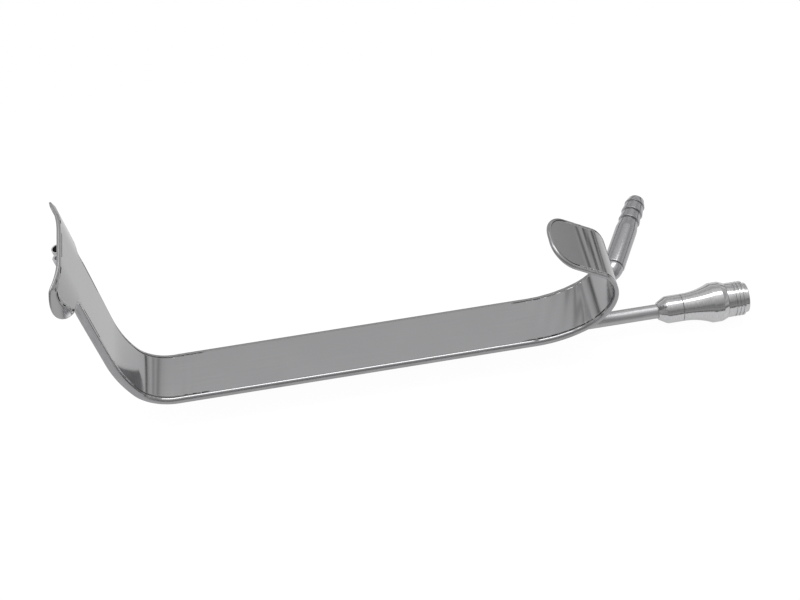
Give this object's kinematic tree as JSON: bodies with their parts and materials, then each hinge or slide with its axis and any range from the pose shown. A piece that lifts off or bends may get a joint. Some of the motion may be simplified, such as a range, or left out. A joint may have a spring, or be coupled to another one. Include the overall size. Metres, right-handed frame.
{
  "type": "lighted retractor",
  "caption": "Hand-held bent-strip retractor with a winged blade tip, finger hook, light-guide connector and suction hose barb.",
  "frame": {"origin": "middle of the handle's flat inner face", "axes": "+X along the handle towards the light connector, +Z square out of the handle's inner face and up the blade, +Y towards the side that the hose barb points to"},
  "size_m": [0.2319, 0.0728, 0.0939],
  "materials": {
    "forged_steel": "mirror-polished stainless steel with fine lengthwise polish",
    "polished_steel": "drawn and polished stainless steel tube",
    "turned_steel": "bright turned stainless steel",
    "fibre_glass": "bonded glass fibres",
    "polished_glass": "ground and polished fibre face",
    "seal_rubber": "matt black sealing rubber"
  },
  "bodies": {
    "retractor": {"retractor_strip": "forged_steel", "light_tube": "polished_steel", "fibre_bundle": "fibre_glass", "light_inlet_tube": "polished_steel", "light_exit_ferrule": "polished_steel", "light_exit_window": "polished_glass", "suction_tube": "polished_steel", "suction_collar": "polished_steel", "hose_barb": "polished_steel", "rear_saddle": "polished_steel", "middle_saddle": "polished_steel", "front_saddle": "polished_steel", "connector_boss": "turned_steel", "light_inlet_ferrule": "polished_steel", "light_inlet_window": "polished_glass"},
    "flared_adapter_travel": {"inner_seal": "seal_rubber"},
    "flared_adapter_turn": {"flared_adapter": "turned_steel"},
    "end_adapter_travel": {"outer_seal": "seal_rubber"},
    "end_adapter_turn": {"end_adapter": "turned_steel"}
  },
  "joints": [
    {"name": "flared_adapter_out", "type": "slide", "parent": "retractor", "child": "flared_adapter_travel", "axis": [1, 0, 0], "range_m": [0, 0.003]},
    {"name": "flared_adapter_unscrew", "type": "hinge", "parent": "flared_adapter_travel", "child": "flared_adapter_turn", "pos_m": [0.1187, -0.0009, -0.0059], "axis": [1, 0, 0], "range_deg": [0, 1080]},
    {"name": "end_adapter_out", "type": "slide", "parent": "flared_adapter_turn", "child": "end_adapter_travel", "axis": [1, 0, 0], "range_m": [0, 0.003]},
    {"name": "end_adapter_unscrew", "type": "hinge", "parent": "end_adapter_travel", "child": "end_adapter_turn", "pos_m": [0.1347, -0.0009, -0.0059], "axis": [1, 0, 0], "range_deg": [0, 1080]}
  ],
  "couplings": [
    {"joint": "flared_adapter_out", "follows": "flared_adapter_unscrew", "m_per_rad": 0.000159},
    {"joint": "end_adapter_out", "follows": "end_adapter_unscrew", "m_per_rad": 0.000159}
  ]
}
